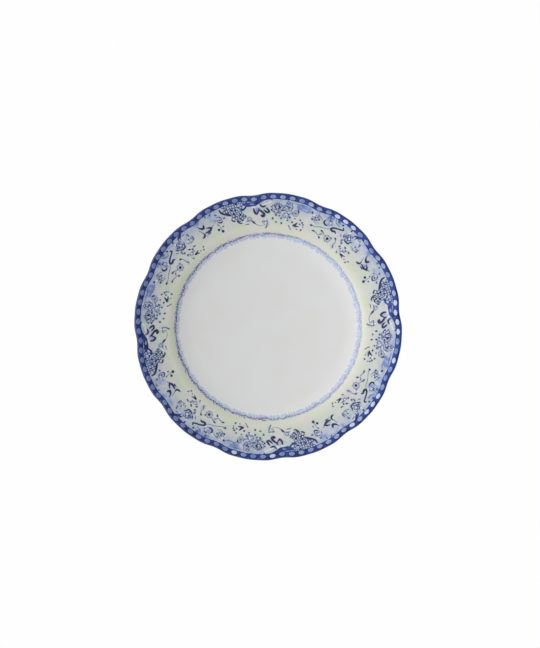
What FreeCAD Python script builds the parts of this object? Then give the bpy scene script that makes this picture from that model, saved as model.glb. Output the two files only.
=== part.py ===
"""China dinner plate with a scalloped edge and a printed floral border.

One jiggered and fired body carries every coat. From the clay outwards: a glassy glaze on the face
and on the back, a cream ground and a cobalt edge band on the rim, then the printed lace ring, the four
sheets of the floral transfer and the enamel ovals. Each coat is a solid of its own.

Frame: +Z is up, the origin is where the plate's axis meets the table, and +X passes through a notch
of the scalloped edge. Lengths are in millimetres, and angles in degrees unless a name says radians.
"""
import FreeCAD, Part
import math
import os
from collections import namedtuple

# The scalloped edge: a circle with evenly spaced, softly rounded notches.
LOBES = 12
EDGE_RADIUS = 133.25
EDGE_WAVES = (-0.97, -0.39, -0.19)
SCALLOP_STARTS_AT = 102.0

# The upper surface of the clay: a small flat middle, the slightly dished well, the cove where it
# begins to rise, the wall, the shoulder and the rim, which lifts a little more towards its edge.
FLAT_RADIUS = 6.0
WELL_HEIGHT = 6.2
WELL_RADIUS = 75.0
WELL_BEND_RADIUS = 700.0
COVE_SLOPE = 15.0
COVE_BEND_RADIUS = 81.0
WALL_SLOPE = 28.0
WALL_BEND_RADIUS = 31.0
SHOULDER_BEND_RADIUS = 30.0
RIM_INNER_SLOPE = 12.0
RIM_BEND_RADIUS = 284.0

# The clay's thickness. The edge is rounded to half of it.
CLAY = 3.8
NOSE_RADIUS = CLAY / 2

# The foot ring, as radii of the outer and inner edges of its tread.
FOOT_OUTER_RADIUS = 71.6
FOOT_INNER_RADIUS = 67.4
FOOT_SIDE_SLOPE = 76.0
ROOT_BEND_RADIUS = 1.4
TREAD_BEND_RADIUS = 0.9

# The lean at which the glaze on the foot's sides stops. Only the tread below it stays bare.
GLAZE_STOPS_AT = 60.0

# The coats. The printed coats are thicker here than fired ink, so that each is a sound solid.
GLAZE = 0.30
INK = 0.15
OVAL_RELIEF = 0.20

# Where the coats begin and end on the face, as radii on the unscalloped plate.
LACE_INNER_RADIUS = 88.2
GROUND_INNER_RADIUS = 93.6
LACE_OUTER_RADIUS = 95.6
PRINT_INNER_RADIUS = 97.4
BAND_WIDTH = 5.9
BAND_INNER_RADIUS = EDGE_RADIUS - BAND_WIDTH

# The ovals on the band and the sheets of the transfer.
OVALS_PER_LOBE = 7
OVAL_LENGTH = 6.4
OVAL_ASPECT = 0.58
OVAL_INSET = 3.4
PRINT_SHEETS = 4
SHEET_JOINT_ANGLE = 30.0

# How finely the curves are sampled.
POINTS_PER_LOBE = 16
DEGREES_PER_POINT = 6.0
FEWEST_POINTS = 7

# Lengths and angles smaller than this count as nothing.
NOTHING = 1e-6

UP = FreeCAD.Vector(0, 0, 1)
ORIGIN = FreeCAD.Vector(0, 0, 0)

# A bend of the section: centre (r, z), radius (negative where the clay is hollow) and the two
# leans of its outward normal, where 0 faces down, 90 faces away from the axis and 180 faces up.
Bend = namedtuple("Bend", "r z radius lean_from lean_to")


def section_point(bend, lean, coat):
    """The point (r, z) of a bend where its normal has this lean, moved outwards by a coat."""
    reach = bend.radius + coat
    turn = math.radians(lean)
    return bend.r + reach * math.sin(turn), bend.z - reach * math.cos(turn)


def tangent_centre(bend, lean, radius):
    """The centre of a further bend that leaves this one smoothly at a lean."""
    r, z = section_point(bend, lean, 0)
    turn = math.radians(lean)
    return r - radius * math.sin(turn), z + radius * math.cos(turn)


def next_bend(before, radius, slope):
    """The bend that leaves another smoothly and turns the face to a slope."""
    lean = before.lean_to
    return Bend(*tangent_centre(before, lean, radius), radius, lean, 180 + slope)


def face_bends():
    """The bends of the eating side, from the well to the edge. The last is half the edge's nose."""
    well_slope = math.degrees(math.asin((WELL_RADIUS - FLAT_RADIUS) / WELL_BEND_RADIUS))
    well = Bend(FLAT_RADIUS, WELL_HEIGHT + WELL_BEND_RADIUS, -WELL_BEND_RADIUS, 180, 180 + well_slope)
    cove = next_bend(well, -COVE_BEND_RADIUS, COVE_SLOPE)
    wall = next_bend(cove, -WALL_BEND_RADIUS, WALL_SLOPE)
    shoulder = next_bend(wall, SHOULDER_BEND_RADIUS, RIM_INNER_SLOPE)
    rim_r = tangent_centre(shoulder, shoulder.lean_to, -RIM_BEND_RADIUS)[0]
    reach = (EDGE_RADIUS - NOSE_RADIUS - rim_r) / (RIM_BEND_RADIUS + NOSE_RADIUS)
    rim = next_bend(shoulder, -RIM_BEND_RADIUS, math.degrees(math.asin(reach)))
    nose = next_bend(rim, NOSE_RADIUS, -90)
    return [well, cove, wall, shoulder, rim, nose]


def beneath(bend):
    """The bend of the underside below a bend of the face, running back towards the axis."""
    return Bend(bend.r, bend.z, CLAY - bend.radius, bend.lean_to - 180, bend.lean_from - 180)


def foot_side(tread_radius, side):
    """The root and tread bends of one side of the foot ring: side is 1 outside and -1 inside.

    The root leaves the bend under the well smoothly, and a straight side joins it to the tread.
    """
    under_well = beneath(face_bends()[0])
    lean = math.radians(side * FOOT_SIDE_SLOPE)
    up_r, up_z = side * math.cos(lean), side * math.sin(lean)
    tread_r = tread_radius - side * TREAD_BEND_RADIUS
    both = ROOT_BEND_RADIUS + TREAD_BEND_RADIUS
    start_r = tread_r + both * math.sin(lean)
    start_z = TREAD_BEND_RADIUS - both * math.cos(lean)
    away_r, away_z = start_r - under_well.r, start_z - under_well.z
    along = away_r * up_r + away_z * up_z
    excess = away_r ** 2 + away_z ** 2 - (under_well.radius + ROOT_BEND_RADIUS) ** 2
    rise = -along - math.sqrt(along ** 2 - excess)
    root_r, root_z = start_r + rise * up_r, start_z + rise * up_z
    root_lean = math.degrees(math.atan2(root_r - under_well.r, under_well.z - root_z))
    root = Bend(root_r, root_z, -ROOT_BEND_RADIUS, root_lean, side * FOOT_SIDE_SLOPE)
    tread = Bend(tread_r, TREAD_BEND_RADIUS, TREAD_BEND_RADIUS, side * FOOT_SIDE_SLOPE, 0)
    return root, tread


def back_bends():
    """The underside outside the foot ring, from the edge in to the foot's outer root."""
    well, cove, wall, shoulder, rim, nose = face_bends()
    outer_root = foot_side(FOOT_OUTER_RADIUS, 1)[0]
    under_nose = nose._replace(lean_from=90, lean_to=nose.lean_from - 180)
    under_well = beneath(well)._replace(lean_to=outer_root.lean_from)
    under_rim = [beneath(bend) for bend in (rim, shoulder, wall, cove)]
    return [under_nose, *under_rim, under_well, outer_root]


def inside_bends():
    """The underside inside the foot ring, from its inner root in to the flat middle."""
    inner_root = foot_side(FOOT_INNER_RADIUS, -1)[0]
    under_well = beneath(face_bends()[0])._replace(lean_from=inner_root.lean_from)
    return [turned_back(inner_root), under_well]


def turned_back(bend):
    return bend._replace(lean_from=bend.lean_to, lean_to=bend.lean_from)


def reversed_run(bends):
    return [turned_back(bend) for bend in reversed(bends)]


def stretch(bends, inner_radius, outer_radius):
    """The part of some bends of the face between two radii on the clay."""
    kept = []
    for bend in bends:
        ends = []
        for lean in (bend.lean_from, bend.lean_to):
            r = min(max(section_point(bend, lean, 0)[0], inner_radius), outer_radius)
            sine = min(max((r - bend.r) / bend.radius, -1.0), 1.0)
            ends.append(180 - math.degrees(math.asin(sine)))
        if abs(ends[0] - ends[1]) > NOTHING:
            kept.append(bend._replace(lean_from=ends[0], lean_to=ends[1]))
    return kept


def sampled(bend, coat):
    """Points (r, z) along a bend."""
    swing = bend.lean_to - bend.lean_from
    steps = max(FEWEST_POINTS, math.ceil(abs(swing) / DEGREES_PER_POINT)) - 1
    return [section_point(bend, bend.lean_from + swing * n / steps, coat) for n in range(steps + 1)]


def scallop_share(r):
    """How fully a ring at radius r follows the scalloped edge: 0 is round and 1 follows it."""
    t = (r - SCALLOP_STARTS_AT) / (BAND_INNER_RADIUS - SCALLOP_STARTS_AT)
    t = min(max(t, 0.0), 1.0)
    return t * t * (3 - 2 * t)


def edge_swing(angle_radians):
    """How far the edge stands out from its mean circle."""
    return sum(size * math.cos((n + 1) * LOBES * angle_radians) for n, size in enumerate(EDGE_WAVES))


def periodic_curve(reach):
    """A closed curve round the axis, at a distance that reach gives for each angle in radians."""
    steps = LOBES * POINTS_PER_LOBE
    angles = [2 * math.pi * step / steps for step in range(steps + 1)]
    points = [FreeCAD.Vector(reach(a) * math.cos(a), reach(a) * math.sin(a), 0) for a in angles[:-1]]
    curve = Part.BSplineCurve()
    curve.interpolate(Points=points, PeriodicFlag=True, Parameters=angles)
    return curve


CIRCLE = periodic_curve(lambda angle: 1.0)
SCALLOP = periodic_curve(edge_swing)


def ring_poles(r, share, z):
    """The control points of a closed curve of the plate: a circle plus its share of the scallop."""
    pairs = zip(CIRCLE.getPoles(), SCALLOP.getPoles())
    return [circle * r + scallop * share + UP * z for circle, scallop in pairs]


def ring_edge(r, z):
    """The closed curve through the point (r, z) of the section."""
    curve = Part.BSplineCurve()
    curve.buildFromPolesMultsKnots(ring_poles(r, scallop_share(r), z), CIRCLE.getMultiplicities(),
                                   CIRCLE.getKnots(), True, CIRCLE.Degree)
    return curve.toShape()


def ring_face(points):
    """The surface swept round the axis by a smooth line of the section."""
    profile = Part.BSplineCurve()
    profile.interpolate([FreeCAD.Vector(r, scallop_share(r), z) for r, z in points])
    poles = [ring_poles(pole.x, pole.y, pole.z) for pole in profile.getPoles()]
    surface = Part.BSplineSurface()
    surface.buildFromPolesMultsKnots(poles, profile.getMultiplicities(), CIRCLE.getMultiplicities(),
                                     profile.getKnots(), CIRCLE.getKnots(), False, True,
                                     profile.Degree, CIRCLE.Degree)
    return surface.toShape()


def flat_face(outer_r, inner_r, z):
    """A flat disc or ring. An inner radius of 0 makes a disc."""
    face = Part.Face(Part.Wire(ring_edge(outer_r, z)))
    if inner_r == 0:
        return face
    return face.cut(Part.Face(Part.Wire(ring_edge(inner_r, z)))).Faces[0]


def straight_face(start, end):
    """The surface swept by a straight line of the section, flat if the line is level."""
    (start_r, start_z), (end_r, end_z) = start, end
    if abs(start_z - end_z) < NOTHING:
        return flat_face(max(start_r, end_r), min(start_r, end_r), start_z)
    points = [(start_r + (end_r - start_r) * n / 3, start_z + (end_z - start_z) * n / 3) for n in range(4)]
    return ring_face(points)


def turned(*runs):
    """The faces swept by runs of (bends, coat), with straight faces between bends that are apart."""
    pieces = [sampled(bend, coat) for bends, coat in runs for bend in bends]
    faces = [ring_face(points) for points in pieces]
    for before, after in zip(pieces, pieces[1:]):
        if math.dist(before[-1], after[0]) > NOTHING:
            faces.append(straight_face(before[-1], after[0]))
    return faces, pieces


def closed_solid(faces):
    shell = Part.makeShell(faces)
    shell.sewShape()
    solid = Part.Solid(shell.Shells[0])
    if solid.Volume < 0:
        solid.reverse()
    return solid


def disc_solid(*runs):
    """A turned solid whose section begins and ends on the axis."""
    faces, pieces = turned(*runs)
    for r, z in (pieces[0][0], pieces[-1][-1]):
        faces.append(flat_face(r, 0, z))
    return closed_solid(faces)


def ring_solid(*runs):
    """A turned solid whose section closes on itself."""
    faces, pieces = turned(*runs)
    faces.append(straight_face(pieces[-1][-1], pieces[0][0]))
    return closed_solid(faces)


def coat_ring(bends, inner, outer):
    """A coat over some bends, between two heights above the clay."""
    return ring_solid((bends, outer), (reversed_run(bends), inner))


def biscuit_body():
    outer_tread = foot_side(FOOT_OUTER_RADIUS, 1)[1]
    inner_tread = foot_side(FOOT_INNER_RADIUS, -1)[1]
    tread = [outer_tread, turned_back(inner_tread)]
    return disc_solid((face_bends() + back_bends() + tread + inside_bends(), 0))


def face_glaze():
    return disc_solid((face_bends(), GLAZE), (reversed_run(face_bends()), 0))


def back_glaze():
    """Two films that cover the foot ring's sides too: a ring outside it and a disc inside it."""
    outer_end = foot_side(FOOT_OUTER_RADIUS, 1)[1]._replace(lean_to=GLAZE_STOPS_AT)
    inner_end = foot_side(FOOT_INNER_RADIUS, -1)[1]._replace(lean_to=-GLAZE_STOPS_AT)
    within = [turned_back(inner_end), *inside_bends()]
    outside = coat_ring([*back_bends(), outer_end], 0, GLAZE)
    inside = disc_solid((reversed_run(within), GLAZE), (within, 0))
    return Part.makeCompound([outside, inside])


def face_coat(inner_radius, outer_radius, inner, outer):
    """A coat on the face between two radii and two heights above the clay."""
    return coat_ring(stretch(face_bends(), inner_radius, outer_radius), inner, outer)


def cream_ground():
    return face_coat(GROUND_INNER_RADIUS, BAND_INNER_RADIUS, GLAZE, GLAZE + INK)


def edge_band():
    return face_coat(BAND_INNER_RADIUS, EDGE_RADIUS, GLAZE, GLAZE + INK)


def verge_lace():
    """The printed ring that hides the step where the cream ground begins."""
    whole = stretch(face_bends(), LACE_INNER_RADIUS, LACE_OUTER_RADIUS)
    on_ground = stretch(face_bends(), GROUND_INNER_RADIUS, LACE_OUTER_RADIUS)
    on_glaze = stretch(face_bends(), LACE_INNER_RADIUS, GROUND_INNER_RADIUS)
    return ring_solid((whole, GLAZE + 2 * INK), (reversed_run(on_ground), GLAZE + INK),
                      (reversed_run(on_glaze), GLAZE))


def border_prints():
    """The floral transfer: equal sheets that meet edge to edge round the rim."""
    whole = face_coat(PRINT_INNER_RADIUS, BAND_INNER_RADIUS, GLAZE + INK, GLAZE + 2 * INK)
    width = 2 * EDGE_RADIUS
    quarter = Part.makeBox(width, width, width)
    sheets = []
    for sheet in range(PRINT_SHEETS):
        quarter.Placement = FreeCAD.Placement(ORIGIN, UP, SHEET_JOINT_ANGLE + 360 / PRINT_SHEETS * sheet)
        sheets.append(whole.common(quarter).Solids[0])
    return sheets


def enamel_dome():
    """One oval lying flat on the origin, with its length along Y and a low domed top."""
    layers = ((1.0, 0.0), (0.96, 0.45), (0.80, 0.80), (0.50, 1.0))
    wires = []
    for share, rise in layers:
        outline = Part.Ellipse(ORIGIN, OVAL_LENGTH / 2, OVAL_LENGTH / 2 * OVAL_ASPECT)
        wire = Part.Wire(outline.toShape())
        wire.rotate(ORIGIN, UP, 90)
        wire.scale(share)
        wire.translate(UP * OVAL_RELIEF * rise)
        wires.append(wire)
    return Part.makeLoft(wires, True)


def oval_on_band(dome, angle):
    """A copy of the dome on the band, at an angle from +X, turned to follow the scalloped edge."""
    rim = face_bends()[-2]
    lean = 180 - math.degrees(math.asin((EDGE_RADIUS - OVAL_INSET - rim.r) / rim.radius))
    r, z = section_point(rim, lean, GLAZE + INK)
    turn = math.radians(angle)
    growth = sum(-size * (n + 1) * LOBES * math.sin((n + 1) * LOBES * turn)
                 for n, size in enumerate(EDGE_WAVES))
    oval = dome.copy()
    oval.rotate(ORIGIN, FreeCAD.Vector(0, 1, 0), 180 - lean)
    oval.rotate(ORIGIN, UP, -math.degrees(math.atan2(growth, EDGE_RADIUS)))
    oval.translate(FreeCAD.Vector(r + edge_swing(turn), 0, z))
    oval.rotate(ORIGIN, UP, angle)
    return oval


def edge_ovals():
    """The enamel ovals, evenly spaced, with one in each notch."""
    dome = enamel_dome()
    count = LOBES * OVALS_PER_LOBE
    return Part.makeCompound([oval_on_band(dome, 360 / count * n) for n in range(count)])


def main():
    parts = {
        "biscuit_body": biscuit_body(),
        "face_glaze": face_glaze(),
        "back_glaze": back_glaze(),
        "cream_ground": cream_ground(),
        "edge_band": edge_band(),
        "edge_ovals": edge_ovals(),
        "verge_lace": verge_lace(),
    }
    for number, sheet in enumerate(border_prints(), start=1):
        parts["border_print_%d" % number] = sheet
    os.makedirs("parts", exist_ok=True)
    for name, shape in parts.items():
        shape.exportStep("parts/%s.step" % name)
        print(name, "solids", len(shape.Solids), "mm3", round(shape.Volume, 1), "valid", shape.isValid())


main()
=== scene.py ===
"""The looks of a china dinner plate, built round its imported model.

The clay and the glaze underneath keep their CAD solids. The coats on the face are built again here as
thin closed discs, rings and sheets that follow the same section. Their tops are fine enough to carry
their drawing: every vertex holds how far it lies inside each ink's shapes, and the materials turn that
into crisp, fired colour. Lengths are in millimetres until plan_points() turns them into metres.
"""

import math
from collections import namedtuple

import bpy
import numpy as np
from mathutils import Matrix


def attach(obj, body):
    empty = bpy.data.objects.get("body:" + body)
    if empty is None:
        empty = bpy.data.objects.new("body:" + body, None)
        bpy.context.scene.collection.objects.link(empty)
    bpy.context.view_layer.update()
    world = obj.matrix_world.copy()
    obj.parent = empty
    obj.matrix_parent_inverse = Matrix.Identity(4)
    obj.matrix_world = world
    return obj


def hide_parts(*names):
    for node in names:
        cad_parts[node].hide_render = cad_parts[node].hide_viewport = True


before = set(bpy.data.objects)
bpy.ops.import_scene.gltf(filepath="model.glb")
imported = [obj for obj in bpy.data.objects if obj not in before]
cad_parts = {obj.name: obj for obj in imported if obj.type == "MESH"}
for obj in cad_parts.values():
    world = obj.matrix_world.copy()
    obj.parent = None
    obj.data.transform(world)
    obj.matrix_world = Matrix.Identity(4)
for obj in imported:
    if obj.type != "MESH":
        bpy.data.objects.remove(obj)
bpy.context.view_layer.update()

MM = 0.001

# The section and the edge of the plate, as they are in the CAD model.
LOBES = 12
EDGE_RADIUS = 133.25
EDGE_WAVES = (-0.97, -0.39, -0.19)
SCALLOP_STARTS_AT = 102.0
FLAT_RADIUS = 6.0
WELL_HEIGHT = 6.2
WELL_RADIUS = 75.0
WELL_BEND_RADIUS = 700.0
COVE_SLOPE = 15.0
COVE_BEND_RADIUS = 81.0
WALL_SLOPE = 28.0
WALL_BEND_RADIUS = 31.0
SHOULDER_BEND_RADIUS = 30.0
RIM_INNER_SLOPE = 12.0
RIM_BEND_RADIUS = 284.0
NOSE_RADIUS = 1.9
GLAZE = 0.30
LACE_INNER_RADIUS = 88.2
GROUND_INNER_RADIUS = 93.6
LACE_OUTER_RADIUS = 95.6
PRINT_INNER_RADIUS = 97.4
BAND_INNER_RADIUS = EDGE_RADIUS - 5.9
OVALS_PER_LOBE = 7
OVAL_LENGTH = 6.4
OVAL_ASPECT = 0.58
OVAL_INSET = 3.4
PRINT_SHEETS = 4
SHEET_JOINT_ANGLE = 30.0

# The heights of the coats above the clay. They are thinner than in the CAD model, so that no step shows,
# and the print lies a little lower than its CAD solid. The ovals stand on the print's height.
GROUND_TOP = GLAZE + 0.05
PRINT_TOP = GROUND_TOP + 0.03
LACE_FILM = 0.01
OVAL_RELIEF = 0.24

# How finely the coats are meshed. The undersides are coarse and don't follow the clay closely: the face
# glaze's cuts into the clay near the edge, and on the wall it rises a little above the glaze's own top.
PRINT_STEP = 0.34
LACE_STEP = 0.30
PLAIN_STEP = 0.9
UNDERSIDE_ROWS = 10
NOSE_ROWS = 10
STROKE_STEPS = 7
OVAL_SIDES = 32
SHARP_FROM = math.radians(40)

# The ovals with painted glints on their domes, how white they are, and how far every oval lies inside its
# line.
GLINT_OVALS = (0, 1, 10, 11, 12, 58, 62, 71, 73, 74, 75, 79, 82, 83)
GLINT_SHARE = 0.85
OVAL_SHIFT = 0.12

# The lace: the circle that its chain winds along, and the sizes of its parts.
LACE_RADIUS = 93.1
LACE_LINKS = 118
LACE_WAVE = 0.75
CHAIN_HALF_WIDTH = 0.54
KNOT_RADIUS = 1.05
TICK_HALF_WIDTH = 0.36
TICK_LENGTH = 2.1
DRIP_SHORTEST = 1.9
DRIP_SWING = 2.2

# How far past its edge a shape still says how near a vertex is, the depth far from every shape, and
# half of a ring's opening in degrees.
MARGIN = 1.6
FAR = -1.6
HALF_GAP = 28

Bend = namedtuple("Bend", "r z radius lean_from lean_to")


# ---- the plate's shape

def section_point(bend, lean, coat):
    """The point (r, z) of a bend where its normal has this lean in radians, under a coat."""
    reach = bend.radius + coat
    return bend.r + reach * np.sin(lean), bend.z - reach * np.cos(lean)


def next_bend(before, radius, slope):
    """The bend that leaves another smoothly and turns the face to a slope in radians."""
    r, z = section_point(before, before.lean_to, 0)
    lean = before.lean_to
    return Bend(r - radius * math.sin(lean), z + radius * math.cos(lean), radius, lean, math.pi + slope)


def face_bends():
    well_slope = math.asin((WELL_RADIUS - FLAT_RADIUS) / WELL_BEND_RADIUS)
    well = Bend(FLAT_RADIUS, WELL_HEIGHT + WELL_BEND_RADIUS, -WELL_BEND_RADIUS,
                math.pi, math.pi + well_slope)
    cove = next_bend(well, -COVE_BEND_RADIUS, math.radians(COVE_SLOPE))
    wall = next_bend(cove, -WALL_BEND_RADIUS, math.radians(WALL_SLOPE))
    shoulder = next_bend(wall, SHOULDER_BEND_RADIUS, math.radians(RIM_INNER_SLOPE))
    rim = next_bend(shoulder, -RIM_BEND_RADIUS, 0)
    reach = (EDGE_RADIUS - NOSE_RADIUS - rim.r) / (RIM_BEND_RADIUS + NOSE_RADIUS)
    rim = rim._replace(lean_to=math.pi + math.asin(reach))
    nose = next_bend(rim, NOSE_RADIUS, -math.pi / 2)
    return [well, cove, wall, shoulder, rim, nose]


FACE = face_bends()


def on_face(radius, coat):
    """Distance from the axis and height of the face, at radii on the clay and under a coat."""
    radius, coat = np.broadcast_arrays(np.asarray(radius, float), np.asarray(coat, float))
    r = np.zeros(radius.shape)
    z = np.zeros(radius.shape)
    for bend in FACE:
        starts = section_point(bend, bend.lean_from, 0)[0]
        here = radius >= starts - 1e-9
        lean = math.pi - np.arcsin(np.clip((radius[here] - bend.r) / bend.radius, -1, 1))
        r[here], z[here] = section_point(bend, lean, coat[here])
    return r, z


def smooth_step(value, start, end):
    t = np.clip((value - start) / (end - start), 0, 1)
    return t * t * (3 - 2 * t)


def edge_swing(angle):
    """How far the scalloped edge stands out from its mean circle."""
    return sum(size * np.cos((n + 1) * LOBES * angle) for n, size in enumerate(EDGE_WAVES))


def plan_radius(r, angle):
    """The real distance from the axis, once the rim follows its scalloped edge."""
    return r + smooth_step(r, SCALLOP_STARTS_AT, BAND_INNER_RADIUS) * edge_swing(angle)


def plan_points(r, z, angle):
    reach = plan_radius(r, angle)
    return np.stack([reach * np.cos(angle), reach * np.sin(angle), z + 0 * reach], axis=-1) * MM


# ---- meshes

def add_object(name, data):
    thing = bpy.data.objects.new(name, data)
    bpy.context.scene.collection.objects.link(thing)
    return thing


def mesh_object(name, points, faces, values):
    """An object with smooth faces, and one named number per vertex for each of the values."""
    mesh = bpy.data.meshes.new(name)
    mesh.from_pydata(points.tolist(), [], faces)
    mesh.shade_smooth()
    mesh.set_sharp_from_angle(angle=SHARP_FROM)
    for key, numbers in values.items():
        layer = mesh.attributes.new(key, "FLOAT", "POINT")
        layer.data.foreach_set("value", np.asarray(numbers, np.float32).ravel())
    return add_object(name, mesh)


def finish_piece(piece, slot, material, *nodes):
    piece.data.materials.append(material)
    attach(piece, "root")
    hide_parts(*nodes)


def grid_faces(rows, columns, closed, hollow):
    """Quads of a section of some rows, swept through some columns. A hollow one's section is a loop."""
    row = np.arange(rows if hollow else rows - 1)[:, None]
    column = np.arange(columns if closed else columns - 1)[None, :]
    after_row = (row + 1) % rows
    after_column = (column + 1) % columns
    corners = [row * columns + column, after_row * columns + column,
               after_row * columns + after_column, row * columns + after_column]
    return np.stack(corners, axis=-1).reshape(-1, 4).tolist()


class Coat:
    """A thin closed coat on the face: a sector, a ring or a whole disc whose middle is flat."""

    def __init__(self, radii, angles, top, bottom, closed=True, hollow=True):
        under = np.linspace(radii[-1], radii[0], UNDERSIDE_ROWS)
        self.radii = np.concatenate([radii, under])
        under_heights = np.interp(under, radii, np.broadcast_to(bottom, radii.shape))
        heights = np.concatenate([np.broadcast_to(top, radii.shape), under_heights])
        self.closed = closed
        self.hollow = hollow
        self.angles = angles
        r, z = on_face(self.radii, heights)
        self.points = plan_points(r[:, None], z[:, None], angles[None, :]).reshape(-1, 3)
        self.reach = plan_radius(r[:, None], angles[None, :]).ravel()
        self.turn = np.broadcast_to(angles[None, :], (len(self.radii), len(angles))).ravel()
        self.across = np.repeat(self.radii, len(angles))

    def build(self, name, values, turned_by=0.0):
        rows, columns = len(self.radii), len(self.angles)
        faces = grid_faces(rows, columns, self.closed, self.hollow)
        if not self.hollow:
            faces.append(list(range(columns)))
            faces.append([(rows - 1) * columns + column for column in reversed(range(columns))])
        if not self.closed:
            faces.append([row * columns for row in range(rows)])
            faces.append([row * columns + columns - 1 for row in reversed(range(rows))])
        cos, sin = math.cos(turned_by), math.sin(turned_by)
        turned = self.points @ np.array([[cos, sin, 0], [-sin, cos, 0], [0, 0, 1]])
        return mesh_object(name, turned, faces, values)


def steps_between(start, end, step):
    return np.linspace(start, end, max(2, math.ceil(abs(end - start) / step) + 1))


def radii_to_edge(start, step):
    """Radii out to the edge, closer together where it rounds over."""
    nose_start = EDGE_RADIUS - NOSE_RADIUS
    swing = np.linspace(0, math.pi / 2, NOSE_ROWS)[1:]
    return np.concatenate([steps_between(start, nose_start, step), nose_start + NOSE_RADIUS * np.sin(swing)])


def ring_angles(radius, step):
    return np.linspace(0, 2 * math.pi, math.ceil(2 * math.pi * radius / step), endpoint=False)


# ---- drawing on one sheet

INKS = ("cobalt", "dark", "mid")
TINTS = ("wash", "lavender", "light")
REPEAT = 360 / PRINT_SHEETS
DRAWING_STARTS_AT = 2.5


def smooth_route(route):
    """Points along a smooth line through some places."""
    places = np.array(route, float)
    padded = np.vstack([2 * places[0] - places[1], places, 2 * places[-1] - places[-2]])
    points = [places[:1]]
    t = np.arange(1, STROKE_STEPS + 1)[:, None] / STROKE_STEPS
    for a, b, c, d in zip(padded, padded[1:], padded[2:], padded[3:]):
        points.append(0.5 * (2 * b + (c - a) * t + (2 * a - 5 * b + 4 * c - d) * t ** 2
                             + (3 * b - a - 3 * c + d) * t ** 3))
    return np.vstack(points)


class Sheet:
    """The drawing on one quarter of the rim. A place is (degrees round the rim, radius)."""

    def __init__(self, degrees, radii):
        self.degrees = degrees
        self.radii = radii
        self.layers = {ink: np.full(degrees.shape, FAR) for ink in INKS}
        self.layers.update({tint: np.zeros(degrees.shape) for tint in TINTS})

    def near(self, place, size):
        """The vertices within a size of a place, and how far sideways and outwards they lie."""
        half = REPEAT / 2
        sideways = np.radians((self.degrees - place[0] + half) % REPEAT - half) * place[1]
        outwards = self.radii - place[1]
        here = np.flatnonzero((np.abs(sideways) < size) & (np.abs(outwards) < size))
        return here, sideways[here], outwards[here]

    def lay(self, ink, here, depth):
        layer = self.layers[ink]
        layer[here] = np.maximum(layer[here], depth)

    def stroke(self, ink, route, *widths):
        """A brush stroke through some places, whose width changes evenly through the widths."""
        line = smooth_route(route) if len(route) > 2 else np.array(route, float)
        anchor = line[len(line) // 2]
        flat = np.stack([np.radians(line[:, 0] - anchor[0]) * anchor[1], line[:, 1] - anchor[1]], axis=1)
        here, x, y = self.near(anchor, np.abs(flat).max() + max(widths) + MARGIN)
        spread = np.interp(np.linspace(0, 1, len(flat)), np.linspace(0, 1, len(widths)), widths)
        best = np.full(x.shape, FAR)
        for (ax, ay), (bx, by), wide_a, wide_b in zip(flat, flat[1:], spread, spread[1:]):
            length = (bx - ax) ** 2 + (by - ay) ** 2 + 1e-9
            t = np.clip(((x - ax) * (bx - ax) + (y - ay) * (by - ay)) / length, 0, 1)
            away = np.hypot(x - ax - t * (bx - ax), y - ay - t * (by - ay))
            best = np.maximum(best, (wide_a + (wide_b - wide_a) * t) / 2 - away)
        self.lay(ink, here, best)

    def spot(self, ink, place, radius, longer=1.0, turn=0.0):
        """A seed: a filled oval, stretched by a factor along a turn in degrees."""
        here, x, y = self.near(place, radius * longer + MARGIN)
        cos, sin = math.cos(math.radians(turn)), math.sin(math.radians(turn))
        away = np.hypot((x * cos + y * sin) / longer, y * cos - x * sin)
        self.lay(ink, here, radius - away)

    def ring(self, ink, place, radius, width, lobes=0, depth=0.0, gap=None):
        """A round outline. Lobes make it a flower's, and a gap in degrees leaves it open there."""
        here, x, y = self.near(place, radius + depth + width + MARGIN)
        around = np.arctan2(y, x)
        edge = radius + depth * (np.abs(np.cos(lobes * around / 2)) - 0.6) if lobes else radius
        inside = width / 2 - np.abs(np.hypot(x, y) - edge)
        if gap is not None:
            open_way = np.abs((np.degrees(around) - gap + 180) % 360 - 180)
            inside = np.where(open_way < HALF_GAP, FAR, inside)
        self.lay(ink, here, inside)

    def tint(self, name, place, radius, strength, longer=1.0, turn=0.0):
        """A soft patch of thin colour."""
        size = radius * max(longer, 1.0) * 1.6
        here, x, y = self.near(place, size)
        cos, sin = math.cos(math.radians(turn)), math.sin(math.radians(turn))
        away = np.hypot((x * cos + y * sin) / longer, y * cos - x * sin) / radius
        layer = self.layers[name]
        layer[here] = 1 - (1 - layer[here]) * (1 - strength * (1 - smooth_step(away, 0.45, 1.35)))

    def wash(self, place, radius, strength, longer=1.0, turn=0.0, lavender=0.0):
        self.tint("wash", place, radius, strength, longer, turn)
        if lavender:
            self.tint("lavender", place, radius, lavender, longer, turn)


def stipple(sheet, place, radius, count, seed):
    """Broken petals: short dabs scattered through a flower, each with its own turn."""
    random = np.random.default_rng(seed)
    for number in range(count):
        away = radius * math.sqrt(random.uniform(0.05, 1.0))
        around = random.uniform(0, 2 * math.pi)
        size = random.uniform(0.26, 0.5)
        longer = random.uniform(1.2, 2.8)
        turn = math.degrees(around) + random.uniform(50, 130)
        at = (place[0] + math.degrees(away * math.cos(around) / place[1]), place[1] + away * math.sin(around))
        sheet.spot("dark" if number % 4 == 0 else "mid", at, size, longer=longer, turn=turn)
        if number % 2:
            beside = (at[0] + random.uniform(-0.9, 0.9), at[1] + random.uniform(-1.6, 1.6))
            sheet.tint("light", beside, 0.9, 0.9, longer=1.5, turn=turn)


def scatter_seeds(sheet, places, longer, turning, heart=0.0):
    """Seeds at some (degrees, radius, size), each with its own turn and perhaps a dark heart."""
    for degrees, radius, size in places:
        sheet.spot("mid", (degrees, radius), size, longer=longer, turn=degrees * turning)
        if heart:
            sheet.spot("dark", (degrees, radius), size * heart)


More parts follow.
